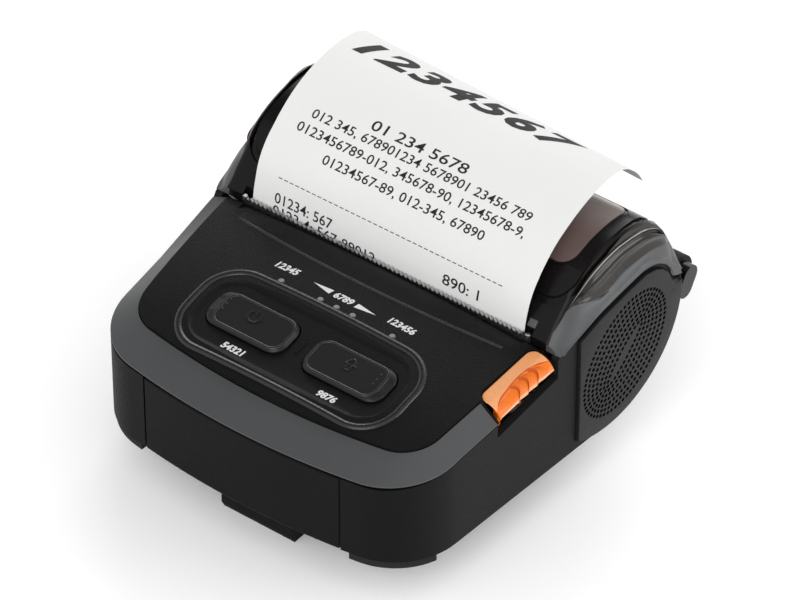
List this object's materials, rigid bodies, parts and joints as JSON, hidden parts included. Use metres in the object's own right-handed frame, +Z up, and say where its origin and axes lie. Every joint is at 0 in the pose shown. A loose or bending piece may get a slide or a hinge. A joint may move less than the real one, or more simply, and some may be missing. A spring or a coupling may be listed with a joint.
{
  "type": "portable receipt printer",
  "caption": "Battery-powered belt-worn receipt printer: hinged roll cover with a platen and tear bar, sprung keys, sliding release, removable pack and belt clip.",
  "frame": {"origin": "on the surface the printer stands on, under the middle of the case's depth and width, in the plane of the belt clip's underside", "axes": "+X to the right seen from the keys, +Y to the rear hinge, +Z up"},
  "size_m": [0.1076, 0.1101, 0.0729],
  "materials": {
    "case_plastic": "fine grain",
    "side_plastic": "fine grain",
    "bezel_plastic": "satin",
    "panel_plastic": "satin",
    "key_plastic": "satin",
    "lens": "clear",
    "board": "satin",
    "battery_plastic": "fine grain",
    "contact_metal": "bright",
    "button_plastic": "satin",
    "spring_steel": "drawn",
    "steel": "satin",
    "tub_plastic": "satin",
    "paper": "smooth",
    "core": "matt",
    "head_ceramic": "glazed",
    "aluminium": "milled",
    "rubber": "matt",
    "gear_plastic": "smooth",
    "bush": "satin",
    "lid_plastic": "satin",
    "smoked_window": "polished",
    "trim_plastic": "satin"
  },
  "bodies": {
    "printer": {"lower_case": "case_plastic", "side_cover_right": "side_plastic", "side_cover_left": "side_plastic", "front_bezel": "bezel_plastic", "control_panel": "panel_plastic", "status_lights": "lens", "main_board": "board", "power_switch": "steel", "feed_switch": "steel", "battery_contacts": "contact_metal", "release_spring": "spring_steel", "roll_tub": "tub_plastic", "paper_web": "paper", "mechanism_frame": "steel", "print_head": "head_ceramic", "head_heatsink": "aluminium", "head_springs": "spring_steel", "tear_bar": "steel", "idler_axle": "steel", "stepper_motor": "steel", "hinge_pin": "steel", "rear_bar": "case_plastic", "clip_springs": "spring_steel", "dc_jack": "steel", "usb_port": "steel", "front_feet": "rubber", "rear_feet": "rubber", "case_screws": "steel"},
    "battery": {"battery_pack": "battery_plastic", "battery_terminals": "contact_metal"},
    "power_key": {"power_button": "key_plastic"},
    "feed_key": {"feed_button": "key_plastic"},
    "release": {"release_button": "button_plastic"},
    "latch": {"latch_hooks": "steel"},
    "lid": {"lid_frame": "lid_plastic", "lid_window": "smoked_window", "lid_trim_right": "trim_plastic", "lid_trim_left": "trim_plastic", "platen_bushes": "bush", "paper_tongue": "paper"},
    "platen": {"platen_shaft": "steel", "platen_rubber": "rubber", "platen_gear": "gear_plastic"},
    "idler": {"idler_gear": "gear_plastic"},
    "motor": {"motor_pinion": "gear_plastic"},
    "roll": {"paper_roll": "paper", "roll_core": "core"},
    "port": {"port_cover": "rubber"},
    "clip": {"belt_clip": "case_plastic"}
  },
  "joints": [
    {"name": "lid_hinge", "type": "hinge", "parent": "printer", "child": "lid", "pos_m": [0, 0.0482, 0.0433], "axis": [-1, 0, 0], "range_deg": [0, 90]},
    {"name": "platen_spin", "type": "hinge", "parent": "lid", "child": "platen", "pos_m": [0, 0.0113, 0.0406], "axis": [1, 0, 0], "continuous": true},
    {"name": "idler_spin", "type": "hinge", "parent": "printer", "child": "idler", "pos_m": [0, 0.00794, 0.02804], "axis": [1, 0, 0], "continuous": true},
    {"name": "motor_spin", "type": "hinge", "parent": "printer", "child": "motor", "pos_m": [0, -0.00257, 0.02477], "axis": [1, 0, 0], "continuous": true},
    {"name": "roll_spin", "type": "hinge", "parent": "printer", "child": "roll", "pos_m": [0, 0.02945, 0.0341], "axis": [1, 0, 0], "continuous": true},
    {"name": "power_press", "type": "slide", "parent": "printer", "child": "power_key", "axis": [0, 0.1908, -0.9816], "range_m": [0, 0.0008], "stiffness_N_per_m": 1500, "springref_m": -0.0004},
    {"name": "feed_press", "type": "slide", "parent": "printer", "child": "feed_key", "axis": [0, 0.1908, -0.9816], "range_m": [0, 0.0008], "stiffness_N_per_m": 1500, "springref_m": -0.0004},
    {"name": "release_press", "type": "slide", "parent": "printer", "child": "release", "axis": [0, 0, -1], "range_m": [0, 0.0016], "stiffness_N_per_m": 1200, "springref_m": -0.0006},
    {"name": "latch_turn", "type": "hinge", "parent": "printer", "child": "latch", "pos_m": [0, 0.0025, 0.033], "axis": [1, 0, 0], "range_deg": [0, 6]},
    {"name": "battery_slide", "type": "slide", "parent": "printer", "child": "battery", "axis": [0, -1, 0], "range_m": [0, 0.04]},
    {"name": "port_cover_hinge", "type": "hinge", "parent": "printer", "child": "port", "pos_m": [-0.04826, -0.02025, 0.0189], "axis": [0.0564, -0.9984, 0], "range_deg": [0, 100]},
    {"name": "belt_clip_hinge", "type": "hinge", "parent": "printer", "child": "clip", "pos_m": [0, 0.0545, 0.0357], "axis": [1, 0, 0], "range_deg": [0, 15], "stiffness_Nm_per_rad": 0.6, "springref_deg": -11.46}
  ],
  "couplings": [
    {"joint": "idler_spin", "follows": "platen_spin", "ratio": -0.625},
    {"joint": "motor_spin", "follows": "platen_spin", "ratio": 1.6667},
    {"joint": "roll_spin", "follows": "platen_spin", "ratio": 0.32168},
    {"joint": "latch_turn", "follows": "release_press", "rad_per_m": 65.45}
  ]
}
